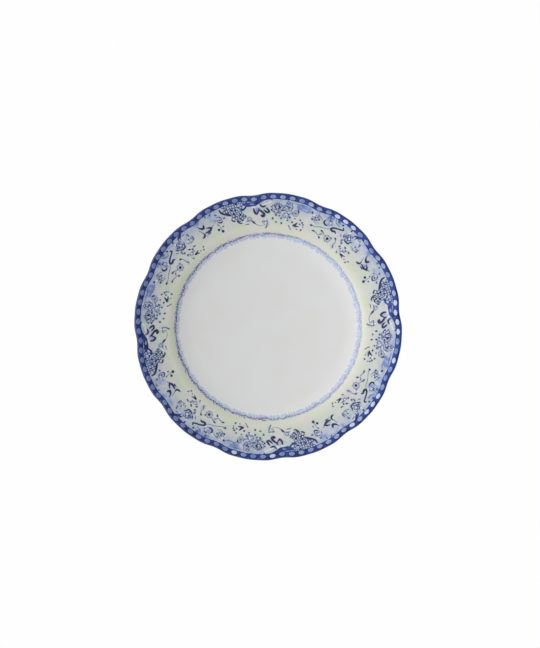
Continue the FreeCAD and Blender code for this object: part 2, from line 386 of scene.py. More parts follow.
def scroll_group(sheet):
    """The thick scrolls beside the notch, with a slash leaf and a pale sprig below them."""
    sheet.stroke("cobalt", [(-2.6, 124.4), (0.0, 123.9), (2.6, 123.6), (4.6, 125.4), (7.5, 127.6), (11, 128)],
                 2.4, 3.6, 4.0, 3.4, 2.2, 1.2)
    sheet.stroke("cobalt", [(10.2, 128.6), (10.8, 126.0)], 1.8, 0.5)
    sheet.stroke("dark", [(-2.0, 122.5), (0.0, 122.1), (3.0, 122.0)], 0.9, 1.3, 0.5)
    sheet.stroke("dark", [(4.9, 122.8), (5.4, 121.0), (6.2, 120.2), (7.0, 120.5), (7.6, 121.2)],
                 0.7, 1.5, 1.7, 1.5, 0.7)
    sheet.stroke("dark", [(1.8, 118.6), (1.9, 116.2), (2.4, 114.4), (3.0, 113.6), (3.6, 114.6), (4.3, 117.0)],
                 1.2, 1.8, 2.1, 2.0, 1.4, 1.0)
    sheet.stroke("dark", [(4.1, 118.6), (4.7, 116.8), (5.7, 115.3), (6.6, 113.4), (6.7, 111.8), (6.0, 111.0),
                          (5.3, 111.6)], 0.9, 1.6, 1.9, 2.2, 2.9, 2.9, 1.6)
    sheet.stroke("dark", [(6.7, 117.0), (7.4, 115.6), (8.3, 114.5), (9.2, 114.6), (9.5, 115.4)],
                 0.7, 1.5, 1.8, 1.6, 1.0)
    sheet.stroke("dark", [(7.9, 118.9), (8.6, 117.4), (9.3, 115.5)], 0.8, 1.9, 1.7)
    for degrees, radius, turn in ((1.6, 120.4, -10), (4.4, 121.0, 4), (7.4, 122.6, 20), (9.6, 124.6, 25)):
        sheet.tint("light", (degrees, radius), 1.0, 0.75, longer=3.0, turn=turn)
    sheet.wash((3.2, 117.2), 2.4, 0.75, lavender=0.9)
    sheet.wash((6.9, 112.4), 2.6, 0.35, lavender=0.5)
    sheet.wash((4.0, 120.4), 5.0, 0.22, longer=1.5)
    sheet.spot("mid", (10.3, 120.0), 0.7)
    sheet.spot("dark", (10.5, 117.0), 0.75, longer=1.25)
    sheet.stroke("dark", [(0.0, 107.3), (0.9, 105.6), (1.7, 103.9)], 0.8, 1.9, 0.8)
    sheet.ring("mid", (-1.2, 109.6), 1.5, 0.35, lobes=5, depth=0.6)
    sheet.wash((-1.0, 109.2), 3.2, 0.45, lavender=0.7)
    sheet.stroke("mid", [(1.8, 103.6), (4.0, 101.6), (7.0, 101.9)], 0.35, 0.3, 0.2)
    sheet.stroke("mid", [(-3.0, 107.5), (-1.7, 107.7)], 0.4, 0.7)
    sheet.stroke("mid", [(-3.8, 104.5), (-1.9, 104.6)], 0.5, 0.9)
    sheet.stroke("mid", [(8.5, 105.0), (8.1, 102.0), (7.4, 99.2)], 0.6, 0.9, 1.1)
    sheet.spot("mid", (5.8, 105.5), 0.8)
    stipple(sheet, (7.4, 103.8), 2.6, 6, 26)
    stipple(sheet, (-1.2, 108.8), 2.4, 5, 27)
    sheet.wash((7.2, 107.2), 2.3, 0.4, lavender=0.9)
    sheet.wash((8.1, 101.8), 2.2, 0.4, longer=1.5, turn=60, lavender=0.9)


def rose_group(sheet):
    """A rose of broken outlines, an open pale flower, a ring rosette and the seeds between them."""
    rose = (13.3, 119.6)
    sheet.ring("dark", rose, 1.5, 0.5, gap=60)
    sheet.ring("mid", rose, 2.9, 0.75, lobes=5, depth=1.0, gap=200)
    sheet.ring("mid", (13.2, 118.6), 5.0, 0.7, lobes=7, depth=1.3, gap=100)
    sheet.stroke("dark", [(11.8, 121.6), (12.5, 119.2), (13.0, 118.0)], 1.0, 0.9, 0.6)
    sheet.stroke("dark", [(14.0, 121.8), (14.5, 120.4), (14.2, 118.9)], 0.7, 1.1, 0.6)
    sheet.stroke("dark", [(11.5, 115.8), (12.0, 115.0)], 1.0, 0.8)
    sheet.stroke("mid", [(12.6, 114.8), (13.6, 114.6), (14.5, 115.2)], 0.6, 0.9, 0.6)
    stipple(sheet, rose, 5.4, 24, 11)
    sheet.wash(rose, 5.6, 0.42, lavender=0.5)
    flower = (18.2, 121.7)
    sheet.ring("mid", flower, 2.6, 0.5, lobes=6, depth=0.6, gap=30)
    sheet.ring("mid", flower, 4.7, 0.6, lobes=8, depth=1.1, gap=150)
    sheet.spot("mid", flower, 1.1)
    sheet.spot("dark", (18.0, 121.9), 0.6)
    stipple(sheet, flower, 5.0, 16, 12)
    sheet.wash(flower, 6.0, 0.55, lavender=0.3)
    sheet.wash(flower, 2.4, 0.55, lavender=0.4)
    sheet.stroke("dark", [(15.0, 117.6), (16.0, 117.0), (17.4, 118.2)], 0.6, 0.9, 0.4)
    for at, turn in (((17.2, 114.6), 50), ((18.9, 113.4), 110), ((16.3, 112.4), 80), ((20.4, 115.4), 35)):
        sheet.spot("mid", at, 0.28, longer=5.5, turn=turn)
        sheet.wash(at, 1.9, 0.4, longer=1.6, turn=turn)
    rosette = (22.4, 116.6)
    sheet.ring("mid", rosette, 2.9, 0.5, lobes=7, depth=0.7)
    sheet.ring("mid", rosette, 1.5, 0.4)
    sheet.spot("dark", rosette, 0.7)
    sheet.stroke("dark", [(23.2, 120.0), (23.8, 118.8), (23.9, 117.6)], 0.7, 1.5, 0.7)
    sheet.wash((25.8, 123.4), 4.2, 0.9, longer=1.9, turn=-4)
    sheet.wash((24.0, 122.4), 3.0, 0.9, lavender=0.5)
    sheet.stroke("mid", [(20.8, 126.0), (23.8, 125.4), (27.0, 126.3)], 0.3, 0.5, 0.3)
    sheet.stroke("mid", [(24.8, 121.2), (27.4, 120.6), (29.6, 121.6)], 0.3, 0.55, 0.4)
    sheet.spot("dark", (30.1, 122.4), 0.9, longer=1.3, turn=-40)
    scatter_seeds(sheet, ((11.2, 108.6, 1.0), (13.1, 105.2, 0.8), (12.9, 112.0, 0.9), (14.6, 111.8, 0.8),
                          (15.6, 109.3, 0.9), (16.0, 104.6, 0.9), (20.0, 111.4, 1.0), (22.7, 111.4, 0.7),
                          (19.0, 108.3, 0.8), (17.0, 110.6, 0.6)), 1.25, 40)
    sheet.spot("dark", (21.7, 107.4), 0.8, longer=1.2)
    for degrees, radius in ((12.9, 112.0), (15.6, 109.3), (16.0, 104.6), (20.0, 111.4)):
        sheet.spot("dark", (degrees, radius), 0.45)
    stipple(sheet, (18.6, 112.6), 3.2, 9, 25)
    sheet.wash((14.5, 113.0), 4.6, 0.25, longer=1.4)
    sheet.wash((19.5, 110.4), 4.0, 0.22)
    sheet.stroke("mid", [(20.2, 103.2), (21.0, 101.4), (21.8, 99.9)], 1.1, 0.6, 0.9)


def wedge_group(sheet):
    """A dark wedge bud, with seeds scattered round its open side."""
    sheet.stroke("dark", [(22.7, 104.5), (23.7, 106.0), (24.4, 107.9)], 1.6, 1.8, 0.7)
    sheet.stroke("dark", [(22.7, 104.5), (24.0, 104.3), (25.5, 104.7)], 1.5, 1.5, 0.6)
    sheet.wash((23.6, 103.2), 1.7, 0.4, longer=1.8)
    scatter_seeds(sheet, ((25.6, 111.4, 0.8), (25.9, 107.2, 0.7), (26.9, 109.3, 0.85), (27.7, 107.7, 0.75),
                          (27.4, 102.1, 0.85), (28.0, 105.6, 0.5), (25.0, 101.6, 0.5)), 1.3, 55, heart=0.42)


def fan_and_hook(sheet):
    """A feathery fan, a curl, the washes under the band and the long dark hook."""
    for places in (((31.2, 116.4), (32.4, 115.0), (34.3, 113.4)),
                   ((31.0, 117.2), (33.0, 116.6), (35.0, 114.8)),
                   ((32.3, 121.6), (33.2, 119.8), (34.3, 117.6)),
                   ((33.0, 123.2), (34.4, 121.8), (36.2, 119.4)),
                   ((30.6, 119.0), (32.0, 118.4), (33.6, 117.4))):
        sheet.stroke("mid", places, 0.35, 0.6, 0.2)
    sheet.spot("dark", (31.0, 116.3), 0.75, longer=1.4, turn=-35)
    sheet.wash((33.0, 118.6), 3.8, 0.25, longer=1.3, turn=-50, lavender=0.8)
    sheet.spot("dark", (31.6, 110.5), 0.7, longer=1.3)
    sheet.spot("mid", (31.9, 110.4), 1.0, longer=1.3)
    sheet.stroke("mid", [(31.8, 110.4), (34.0, 110.8), (37.0, 113.0), (39.8, 114.3), (41.4, 116.4)],
                 0.55, 0.4, 0.45, 0.4, 0.3)
    sheet.stroke("dark", [(37.4, 121.0), (36.9, 119.4), (37.2, 117.8), (38.2, 116.9), (39.2, 117.3)],
                 0.7, 1.5, 1.6, 1.4, 0.5)
    stipple(sheet, (33.2, 118.4), 3.2, 9, 21)
    stipple(sheet, (40.0, 121.6), 2.6, 6, 22)
    sheet.wash((39.6, 119.6), 3.4, 0.75, longer=1.3, turn=20, lavender=0.35)
    sheet.wash((38.7, 125.2), 3.6, 0.8, longer=1.2)
    sheet.wash((43.4, 125.6), 3.4, 0.8, longer=1.3)
    sheet.spot("mid", (38.7, 126.0), 1.1, longer=1.3, turn=80)
    sheet.spot("mid", (43.0, 126.8), 1.1, longer=1.5)
    sheet.stroke("mid", [(41.2, 127.4), (42.2, 123.9), (44.4, 122.3)], 0.3, 0.45, 0.3)
    sheet.stroke("mid", [(37.2, 122.2), (40.4, 121.7), (41.0, 119.4)], 0.3, 0.5, 0.3)
    sheet.spot("dark", (45.4, 125.9), 0.9)
    sheet.stroke("dark", [(46.3, 123.7), (46.8, 122.2), (45.2, 120.7), (43.4, 119.4), (41.9, 117.8),
                          (41.6, 116.3), (42.6, 115.3), (43.8, 116.1), (44.5, 115.2)],
                 1.0, 1.4, 1.2, 1.4, 1.7, 2.1, 2.0, 1.7, 1.1)
    sheet.stroke("mid", [(47.2, 117.4), (47.9, 115.6)], 0.8, 0.4)


def daisy_group(sheet):
    """A dark-eyed daisy between two leafy sprigs."""
    eye = (42.65, 106.1)
    sheet.spot("dark", eye, 1.35)
    sheet.ring("mid", eye, 3.1, 0.45, lobes=7, depth=1.0)
    sheet.wash(eye, 3.7, 0.5, lavender=0.8)
    sheet.stroke("dark", [(37.6, 110.1), (38.3, 109.9), (39.3, 109.0)], 1.0, 1.3, 0.3)
    sheet.stroke("mid", [(39.2, 109.0), (40.2, 107.6), (41.4, 107.2)], 0.45, 0.4, 0.3)
    sheet.stroke("mid", [(33.4, 105.9), (34.2, 106.4), (35.4, 105.9), (37.2, 105.0), (38.8, 107.2)],
                 0.9, 1.3, 0.5, 0.4, 0.9)
    sheet.spot("dark", (34.0, 106.2), 0.55, longer=1.6)
    sheet.spot("mid", (38.4, 103.0), 0.9, longer=1.5, turn=-50)
    sheet.spot("dark", (38.4, 103.0), 0.45, longer=1.5, turn=-50)
    sheet.spot("mid", (44.3, 108.7), 0.7, longer=1.3)
    sheet.spot("dark", (46.2, 110.8), 0.75, longer=1.5, turn=-20)
    sheet.stroke("mid", [(46.4, 110.6), (47.2, 108.0), (47.1, 105.4), (47.7, 102.4)], 0.6, 0.45, 0.45, 1.4)
    sheet.wash((47.5, 103.6), 2.4, 0.4, longer=1.5, turn=75, lavender=0.9)
    sheet.wash((38.8, 108.0), 2.4, 0.3, lavender=0.8)


def blue_flower_group(sheet):
    """The denser blue flower, the pronged leaf that hangs from the band and the dotted pale leaf."""
    flower = (51.5, 119.2)
    sheet.ring("dark", flower, 1.9, 0.6, lobes=4, depth=0.8, gap=120)
    sheet.ring("mid", flower, 3.6, 0.9, lobes=6, depth=1.2, gap=20)
    sheet.stroke("dark", [(48.4, 119.6), (48.8, 117.8), (49.5, 116.8)], 0.9, 1.2, 0.4)
    sheet.stroke("dark", [(50.0, 115.8), (51.2, 114.7), (52.6, 114.9), (52.8, 117.4)], 0.7, 1.0, 0.9, 0.6)
    stipple(sheet, flower, 5.0, 20, 13)
    sheet.wash(flower, 5.8, 0.65, lavender=0.3)
    sheet.wash((49.8, 121.6), 3.0, 0.3)
    sheet.stroke("cobalt", [(55.9, 130.0), (54.9, 127.0), (53.9, 124.8), (53.6, 122.8)], 2.6, 2.3, 1.5, 0.4)
    sheet.stroke("dark", [(54.8, 127.0), (53.2, 125.9), (52.5, 124.0)], 1.5, 1.5, 0.5)
    sheet.spot("dark", (50.0, 126.8), 0.85, longer=1.2, turn=60)
    for places in (((55.2, 124.7), (56.4, 124.9)), ((56.8, 123.0), (57.5, 122.3), (57.3, 119.8)),
                   ((58.2, 117.4), (58.7, 115.8), (58.2, 114.2)), ((57.2, 114.1), (55.9, 114.0)),
                   ((55.2, 114.6), (54.7, 115.8))):
        sheet.stroke("mid", places, 0.6, 1.1, 0.5)
        sheet.stroke("dark", places, 0.2, 0.6, 0.2)
    stipple(sheet, (57.0, 117.6), 3.4, 9, 23)
    stipple(sheet, (52.2, 105.6), 2.4, 6, 24)
    sheet.wash((56.6, 119.4), 3.6, 0.28, longer=1.35, turn=75)
    sheet.wash((59.6, 121.4), 3.0, 0.2, lavender=0.4)
    sheet.stroke("dark", [(52.7, 111.0), (53.4, 110.0)], 0.8, 1.5)
    sheet.stroke("dark", [(55.8, 109.5), (56.7, 109.2)], 1.0, 1.1)
    scatter_seeds(sheet, ((49.3, 114.0, 0.9), (50.1, 111.3, 0.95), (50.5, 107.6, 0.95), (54.5, 108.3, 0.9),
                          (59.7, 103.1, 0.7), (58.9, 100.6, 0.75), (57.2, 101.7, 0.5), (49.2, 112.4, 0.6)),
                  1.25, 37, heart=0.38)
    sheet.stroke("mid", [(51.0, 102.2), (51.4, 100.8)], 0.8, 1.1)
    sheet.stroke("mid", [(52.6, 107.0), (54.6, 106.2)], 0.5, 0.9)
    sheet.wash((52.0, 104.6), 3.2, 0.25, longer=1.4, turn=80, lavender=0.9)
    sheet.stroke("dark", [(53.7, 102.7), (55.0, 103.0), (56.3, 103.8)], 1.6, 1.4, 0.5)
    sheet.stroke("mid", [(53.8, 102.5), (55.0, 101.6), (56.0, 101.0)], 1.6, 1.2, 0.6)
    sheet.stroke("dark", [(53.8, 102.6), (54.8, 102.1)], 1.3, 0.7)


def cup_flower_group(sheet):
    """The dark commas and cup flowers before the berries."""
    sheet.wash((63.0, 124.4), 3.4, 0.5, longer=2.0)
    sheet.wash((66.0, 119.8), 3.2, 0.3, lavender=0.7)
    sheet.stroke("dark", [(63.3, 121.8), (63.9, 119.4), (64.8, 117.9), (65.6, 117.8), (66.0, 119.8)],
                 0.4, 1.3, 2.1, 2.4, 1.4)
    sheet.stroke("mid", [(63.0, 118.0), (63.5, 115.6), (64.0, 113.2)], 0.4, 0.5, 0.7)
    sheet.stroke("dark", [(64.1, 113.4), (64.2, 111.6), (63.5, 110.1), (62.5, 109.7)], 0.8, 1.6, 1.9, 1.0)
    sheet.stroke("dark", [(66.8, 116.2), (68.0, 115.2), (68.9, 113.8)], 0.7, 1.6, 1.8)
    sheet.stroke("dark", [(65.2, 112.5), (66.6, 112.1), (67.9, 112.4), (69.0, 113.9)], 1.0, 1.8, 2.0, 1.4)
    sheet.stroke("dark", [(65.8, 110.3), (67.2, 110.3)], 0.7, 1.3)
    sheet.stroke("mid", [(69.0, 113.9), (69.8, 115.0), (70.3, 115.4)], 0.8, 0.6, 0.3)
    sheet.wash((67.0, 113.8), 2.9, 0.65, lavender=0.9)
    sheet.wash((65.2, 110.8), 2.6, 0.35, lavender=0.9)
    sheet.spot("dark", (71.9, 108.7), 1.2)
    sheet.spot("dark", (73.5, 105.7), 1.35)
    sheet.spot("mid", (74.6, 110.0), 0.8)
    sheet.stroke("mid", [(73.0, 113.0), (73.2, 109.6), (73.4, 107.0)], 0.35, 0.35, 0.5)
    sheet.wash((72.2, 120.2), 4.4, 0.55, longer=1.3, turn=-50, lavender=0.35)
    sheet.wash((70.6, 125.4), 3.0, 0.3, longer=1.8)
    sheet.stroke("dark", [(73.1, 115.9), (73.9, 114.6), (74.9, 114.2), (75.3, 115.8)], 0.7, 1.1, 1.2, 0.5)
    sheet.stroke("mid", [(73.2, 120.8), (74.9, 119.8), (75.4, 117.2), (75.2, 115.4)], 0.4, 0.7, 0.6, 0.5)
    stipple(sheet, (73.4, 118.6), 3.0, 7, 28)
    sheet.wash((74.2, 117.6), 2.6, 0.5, lavender=0.6)
    scatter_seeds(sheet, ((68.7, 126.3, 0.8), (71.0, 125.9, 0.8), (73.4, 123.2, 0.9), (76.7, 117.2, 0.9),
                          (72.5, 113.4, 0.6)), 1.3, 61)


def berry_cluster(sheet):
    """A hanging bunch of berries between a crescent leaf and the ribbon that curls off the band."""
    sheet.stroke("dark", [(75.9, 126.2), (76.2, 123.2), (77.4, 120.6), (79.4, 118.4), (80.4, 116.9)],
                 1.0, 1.9, 1.7, 2.3, 1.2)
    rows = ((127.6, (77.7, 80.0, 82.5, 85.0, 87.2)), (124.9, (78.7, 81.2, 83.6, 86.5, 88.6)),
            (122.2, (77.7, 80.0, 82.4, 85.8)), (119.5, (78.9, 81.2, 83.5)), (117.4, (85.1,)),
            (115.7, (81.4, 83.1)), (113.3, (82.6, 84.7)), (110.4, (84.0,)))
    for radius, places in rows:
        for degrees in places:
            sheet.ring("mid", (degrees, radius), 1.30, 0.55)
            sheet.ring("dark", (degrees, radius), 1.42, 0.42, gap=(degrees * 77) % 360)
            sheet.wash((degrees, radius), 1.6, 0.5)
            sheet.tint("light", (degrees, radius), 0.6, 0.6)
    for degrees, radius in ((81.0, 122.2), (83.0, 120.9), (79.0, 124.4), (84.6, 122.6), (86.0, 119.8),
                            (83.9, 126.8), (82.0, 117.6), (84.9, 115.4)):
        sheet.spot("dark", (degrees, radius), 0.75, longer=1.7, turn=degrees * 53)
    sheet.stroke("dark", [(80.0, 112.4), (80.7, 110.9), (81.6, 110.3)], 1.3, 1.3, 0.5)
    sheet.stroke("dark", [(82.5, 111.6), (82.7, 109.4), (84.0, 106.9), (84.9, 107.2)], 0.8, 1.5, 1.2, 0.5)
    sheet.stroke("dark", [(84.5, 111.0), (85.4, 109.4)], 0.9, 1.5)
    sheet.stroke("mid", [(80.0, 113.6), (81.2, 114.4), (82.0, 113.4)], 0.5, 1.0, 0.5)
    sheet.ring("mid", (80.9, 113.0), 1.7, 0.5, gap=200)
    sheet.ring("mid", (86.6, 112.6), 1.9, 0.5, lobes=3, depth=0.5)
    stipple(sheet, (85.6, 112.4), 3.4, 10, 14)
    sheet.wash((86.6, 112.8), 2.0, 0.3)
    sheet.wash((82.5, 121.0), 6.6, 0.35, longer=1.2)
    sheet.stroke("cobalt", [(85.0, 120.4), (86.2, 119.4), (87.6, 120.6), (88.6, 122.2), (91.0, 124.8)],
                 0.7, 1.9, 1.7, 1.5, 1.6)
    sheet.stroke("dark", [(87.0, 119.4), (85.8, 119.2)], 1.4, 0.5)


def curl_of_band(sheet):
    """The lens-shaped curl inside the band's ribbon, just before the notch."""
    curl = (91.2, 123.4)
    sheet.spot("cobalt", curl, 2.1, longer=1.6, turn=6)
    sheet.stroke("dark", [(88.2, 122.4), (90.2, 121.8), (92.0, 122.3), (93.2, 123.8)], 0.7, 1.1, 0.9, 0.5)
    here, x, y = sheet.near(curl, 6)
    window = 0.95 - np.hypot(x / 2.1, y + 0.1 * x)
    for ink in INKS:
        sheet.layers[ink][here] = np.minimum(sheet.layers[ink][here], -window)
    sheet.wash((91.2, 123.3), 1.5, 0.7, longer=1.6)
    sheet.stroke("dark", [(90.4, 123.2), (91.6, 123.7)], 0.2, 0.35, 0.2)


def edge_shading(sheet):
    """Thin colour that pools along the band and drifts over the whole border."""
    swing = edge_swing(np.radians(DRAWING_STARTS_AT - sheet.degrees))
    under_band = BAND_INNER_RADIUS + swing - sheet.radii
    pool = 0.42 * (1 - smooth_step(under_band, 0.5, 5.0))
    drift = 0.13 * smooth_step(sheet.radii, 101, 107) + 0.26 * smooth_step(sheet.radii, 110, 121)
    layer = sheet.layers["wash"]
    layer[:] = 1 - (1 - layer) * (1 - pool) * (1 - drift)


def print_drawing(degrees, radii):
    sheet = Sheet(degrees, radii)
    for group in (scroll_group, rose_group, wedge_group, fan_and_hook, daisy_group, blue_flower_group,
                  cup_flower_group, berry_cluster, curl_of_band, edge_shading):
        group(sheet)
    return sheet.layers


# ---- materials

class Nodes:
    """The node tree of a material or a world, with short ways to add and link nodes."""

    def __init__(self, owner):
        owner.use_nodes = True
        self.owner = owner
        self.tree = owner.node_tree
        self.shader = self.tree.nodes.get("Principled BSDF")

    def new(self, kind):
        return self.tree.nodes.new(kind)

    def link(self, value, socket):
        if isinstance(value, bpy.types.NodeSocket):
            self.tree.links.new(value, socket)
        else:
            socket.default_value = value

    def coordinates(self, kind="Object"):
        return self.new("ShaderNodeTexCoord").outputs[kind]

    def value(self, name):
        node = self.new("ShaderNodeAttribute")
        node.attribute_name = name
        return node.outputs["Fac"]

    def noise(self, size, detail=3.0, roughness=0.55):
        """Noise from 0 to 1, whose features are about a size in millimetres."""
        node = self.new("ShaderNodeTexNoise")
        node.inputs["Scale"].default_value = 1 / (size * MM)
        node.inputs["Detail"].default_value = detail
        node.inputs["Roughness"].default_value = roughness
        self.link(self.coordinates(), node.inputs["Vector"])
        return node.outputs["Fac"]

    def math(self, operation, first, second=0.0):
        node = self.new("ShaderNodeMath")
        node.operation = operation
        self.link(first, node.inputs[0])
        self.link(second, node.inputs[1])
        return node.outputs[0]

    def times(self, first, second):
        return self.math("MULTIPLY", first, second)

    def ramp(self, value, start, end, low=0.0, high=1.0, kind="SMOOTHSTEP"):
        """A change from low to high while the value goes from start to end."""
        node = self.new("ShaderNodeMapRange")
        node.interpolation_type = kind
        self.link(value, node.inputs["Value"])
        for name, number in (("From Min", start), ("From Max", end), ("To Min", low), ("To Max", high)):
            node.inputs[name].default_value = number
        return node.outputs["Result"]

    def mix(self, share, first, second):
        node = self.new("ShaderNodeMix")
        node.data_type = "RGBA"
        self.link(share, node.inputs["Factor"])
        for colour, socket in ((first, node.inputs["A"]), (second, node.inputs["B"])):
            self.link((*colour, 1.0) if isinstance(colour, tuple) else colour, socket)
        return node.outputs["Result"]

    def bump(self, height, distance):
        node = self.new("ShaderNodeBump")
        node.inputs["Distance"].default_value = distance * MM
        self.link(height, node.inputs["Height"])
        self.link(node.outputs["Normal"], self.shader.inputs["Normal"])

    def finish(self, colour, roughness):
        self.link(colour, self.shader.inputs["Base Color"])
        self.link(roughness, self.shader.inputs["Roughness"])
        self.shader.inputs["IOR"].default_value = GLAZE_IOR
        return self.owner


GLAZE_IOR = 1.5
WHITE = (0.81, 0.815, 0.82)
WHITE_WARM = (0.80, 0.80, 0.79)
SPECK_GREY = (0.42, 0.41, 0.38)
CLAY_WARM = (0.66, 0.63, 0.56)
CLAY_PALE = (0.74, 0.72, 0.67)
CLAY_GRIT = (0.46, 0.42, 0.35)
CREAM = (0.73, 0.735, 0.655)
CREAM_GREEN = (0.68, 0.745, 0.565)
CREAM_PINK = (0.75, 0.70, 0.67)
COBALT = (0.006, 0.026, 0.155)
# The lighter cobalt of the +X side, partly painted light.
COBALT_BRIGHT = (0.020, 0.060, 0.35)
COBALT_DEEP = (0.004, 0.010, 0.085)
COBALT_THIN = (0.040, 0.100, 0.42)
NAVY = (0.008, 0.012, 0.075)
SLATE = (0.090, 0.125, 0.26)
WASH_BLUE = (0.25, 0.35, 0.66)
WASH_DEEP = (0.12, 0.19, 0.46)
PETAL_WHITE = (0.80, 0.84, 0.76)
LAVENDER = (0.38, 0.37, 0.68)
PALE_BLUE = (0.18, 0.27, 0.57)
PALE_BLUE_LIGHT = (0.36, 0.45, 0.70)
# Duller enamel towards the -X side, partly painted shade.
PALE_DULL = (0.17, 0.225, 0.42)
# Near-white enamel for the painted glints and for pale ovals.
PALE_WHITE = (0.62, 0.73, 0.90)
PALE_BLUE_DEEP = (0.09, 0.14, 0.36)
DRIP_BLUE = (0.46, 0.60, 0.76)
DRIP_LAVENDER = (0.53, 0.53, 0.77)
CHAIN_BLUE = (0.10, 0.15, 0.21)
CHAIN_VIOLET = (0.13, 0.13, 0.25)


def material_nodes(name):
    return Nodes(bpy.data.materials.new(name))


def finish_glazed(nodes, colour, roughness):
    """With the faint ripple of a fired glaze."""
    nodes.bump(nodes.noise(5.0, detail=1.5), 0.012)
    return nodes.finish(colour, roughness)


def white_glaze():
    nodes = material_nodes("white_glaze")
    colour = nodes.mix(nodes.ramp(nodes.noise(28.0), 0.35, 0.7), WHITE, WHITE_WARM)
    specks = nodes.ramp(nodes.noise(0.9, detail=0.0), 0.865, 0.9)
    colour = nodes.mix(nodes.times(specks, 0.25), colour, SPECK_GREY)
    return finish_glazed(nodes, colour, nodes.ramp(nodes.noise(9.0), 0.3, 0.7, 0.10, 0.16))


def bare_china():
    nodes = material_nodes("bare_china")
    colour = nodes.mix(nodes.noise(3.0), CLAY_WARM, CLAY_PALE)
    colour = nodes.mix(nodes.ramp(nodes.noise(0.7, detail=5.0), 0.58, 0.75), colour, CLAY_GRIT)
    nodes.bump(nodes.noise(0.35, detail=4.0), 0.03)
    return nodes.finish(colour, nodes.ramp(nodes.noise(1.5), 0.3, 0.7, 0.62, 0.8))


def cream_colour(nodes):
    colour = nodes.mix(nodes.ramp(nodes.noise(13.0), 0.42, 0.68), CREAM, CREAM_GREEN)
    return nodes.mix(nodes.ramp(nodes.noise(17.0, detail=2.0), 0.55, 0.72), colour, CREAM_PINK)


def cream_enamel():
    nodes = material_nodes("cream_enamel")
    return finish_glazed(nodes, cream_colour(nodes), nodes.ramp(nodes.noise(7.0), 0.3, 0.7, 0.12, 0.19))


def cobalt_colour(nodes):
    """Cobalt that has pooled and thinned in the firing, and is lighter on the +X side, partly as painted
    light.
    """
    colour = nodes.mix(nodes.value("thin_and_lit"), COBALT, COBALT_BRIGHT)
    colour = nodes.mix(nodes.ramp(nodes.noise(3.4), 0.42, 0.72), colour, COBALT_THIN)
    return nodes.mix(nodes.ramp(nodes.noise(5.5), 0.48, 0.66, 0.0, 0.8), colour, COBALT_DEEP)


def floral_print():
    nodes = material_nodes("floral_print")
    grain = nodes.noise(0.55, detail=4.0)
    cloud = nodes.noise(4.5)
    wander = nodes.times(nodes.math("SUBTRACT", grain, 0.5), 0.5)
    tint = nodes.mix(nodes.value("lavender"), WASH_BLUE, LAVENDER)
    patchy = nodes.times(nodes.value("wash"), nodes.ramp(cloud, 0.3, 0.7, 0.62, 1.25))
    colour = nodes.mix(nodes.math("MINIMUM", patchy, 1.0), cream_colour(nodes), tint)
    colour = nodes.mix(nodes.ramp(patchy, 0.7, 1.1, 0.0, 0.65), colour, WASH_DEEP)
    colour = nodes.mix(nodes.value("light"), colour, PETAL_WHITE)
    for ink, tone, halo in (("mid", SLATE, 0.16), ("dark", NAVY, 0.26)):
        depth = nodes.math("ADD", nodes.value(ink), wander)
        bleed = nodes.ramp(nodes.value(ink), -1.1, 0.1, 0.0, halo)
        colour = nodes.mix(bleed, colour, WASH_BLUE)
        grainy = nodes.ramp(grain, 0.25, 0.6, 0.85, 1.0)
        colour = nodes.mix(nodes.times(nodes.ramp(depth, -0.22, 0.08), grainy), colour, tone)
    edge = nodes.ramp(nodes.math("ADD", nodes.value("cobalt"), wander), -0.16, 0.16)
    colour = nodes.mix(edge, colour, cobalt_colour(nodes))
    return finish_glazed(nodes, colour, nodes.ramp(nodes.noise(7.0), 0.3, 0.7, 0.12, 0.19))


def cobalt_enamel():
    nodes = material_nodes("cobalt_enamel")
    colour = cobalt_colour(nodes)
    patches = nodes.ramp(nodes.noise(2.6), 0.35, 0.6, 0.35, 0.95)
    shade = nodes.times(nodes.ramp(nodes.value("link"), 1.75, 1.15), patches)
    # The deep cobalt grows away from the +X side: partly thicker cobalt, partly painted shade.
    shade = nodes.times(shade, nodes.ramp(nodes.value("thin_and_lit"), 0.4, 1.0, 1.0, 0.45))
    colour = nodes.mix(shade, colour, COBALT_DEEP)
    breaks = nodes.ramp(nodes.noise(3.1), 0.35, 0.6)
    rule = nodes.times(nodes.ramp(nodes.value("inside"), 1.0, 0.3), breaks)
    colour = nodes.mix(nodes.times(rule, 0.7), colour, COBALT_DEEP)
    lip = nodes.value("lip")
    colour = nodes.mix(nodes.ramp(lip, 0.3, 0.95, 0.0, 0.6), colour, COBALT_DEEP)
    worn = nodes.times(nodes.ramp(lip, 0.55, 0.8), nodes.ramp(nodes.noise(1.6), 0.6, 0.75))
    colour = nodes.mix(nodes.times(worn, 0.5), colour, COBALT_THIN)
    return finish_glazed(nodes, colour, nodes.ramp(nodes.noise(4.0), 0.3, 0.7, 0.08, 0.16))


def pale_enamel():
    nodes = material_nodes("pale_enamel")
    heart = nodes.value("heart")
    cloud = nodes.noise(7.0)
    colour = nodes.mix(nodes.ramp(cloud, 0.42, 0.66), PALE_BLUE, PALE_BLUE_LIGHT)
    # Duller towards the -X side: partly thicker cobalt, partly painted shade.
    colour = nodes.mix(nodes.ramp(nodes.value("thin_and_lit"), 0.0, 0.8, 0.75, 0.0), colour, PALE_DULL)
    line = nodes.times(nodes.ramp(heart, 0.22, 0.36), nodes.ramp(heart, 0.62, 0.46))
    colour = nodes.mix(nodes.times(line, nodes.ramp(nodes.noise(1.3), 0.35, 0.6, 0.2, 0.8)),
                       colour, PALE_BLUE_DEEP)
    # Painted glints whiten the listed ovals; the others get a random paleness that grows towards the +X side,
    # partly painted light.
    colour = nodes.mix(nodes.value("pale_and_glint"), colour, PALE_WHITE)
    colour = nodes.mix(nodes.ramp(heart, 0.80, 1.0), colour, COBALT_THIN)
    return finish_glazed(nodes, colour, 0.1)


